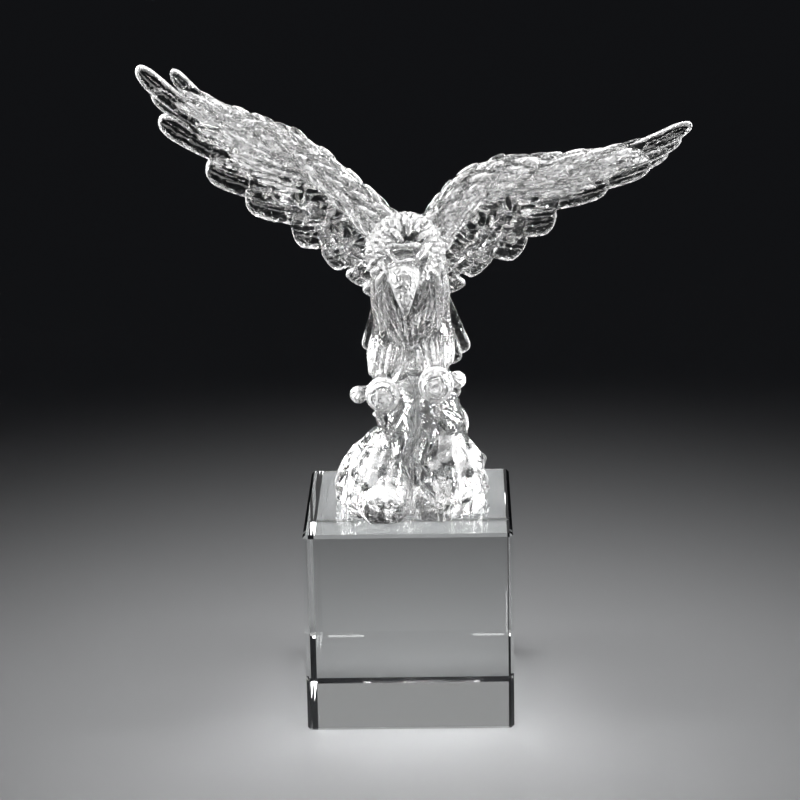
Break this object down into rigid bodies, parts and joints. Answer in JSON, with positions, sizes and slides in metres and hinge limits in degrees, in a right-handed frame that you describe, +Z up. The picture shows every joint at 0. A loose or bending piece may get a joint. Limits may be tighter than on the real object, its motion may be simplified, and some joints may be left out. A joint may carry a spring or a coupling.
{
  "type": "crystal eagle figurine",
  "caption": "Clear crystal eagle with raised, spread wings, landing on a split rock that stands on a polished crystal cube.",
  "frame": {"origin": "centre of the cube's underside", "axes": "+Z up, -Y the way the eagle faces, +X towards the wing on the right as the viewer faces the eagle"},
  "size_m": [0.2096, 0.08, 0.2549],
  "materials": {
    "cube_crystal": "clear optical crystal, ground flat and polished, with narrow polished chamfers",
    "cast_crystal": "clear cast crystal with a bright, rippled, carved surface and a frosted beak"
  },
  "bodies": {
    "root": {"crystal_cube_plinth": "cube_crystal", "eagle_on_rock": "cast_crystal"}
  },
  "joints": []
}
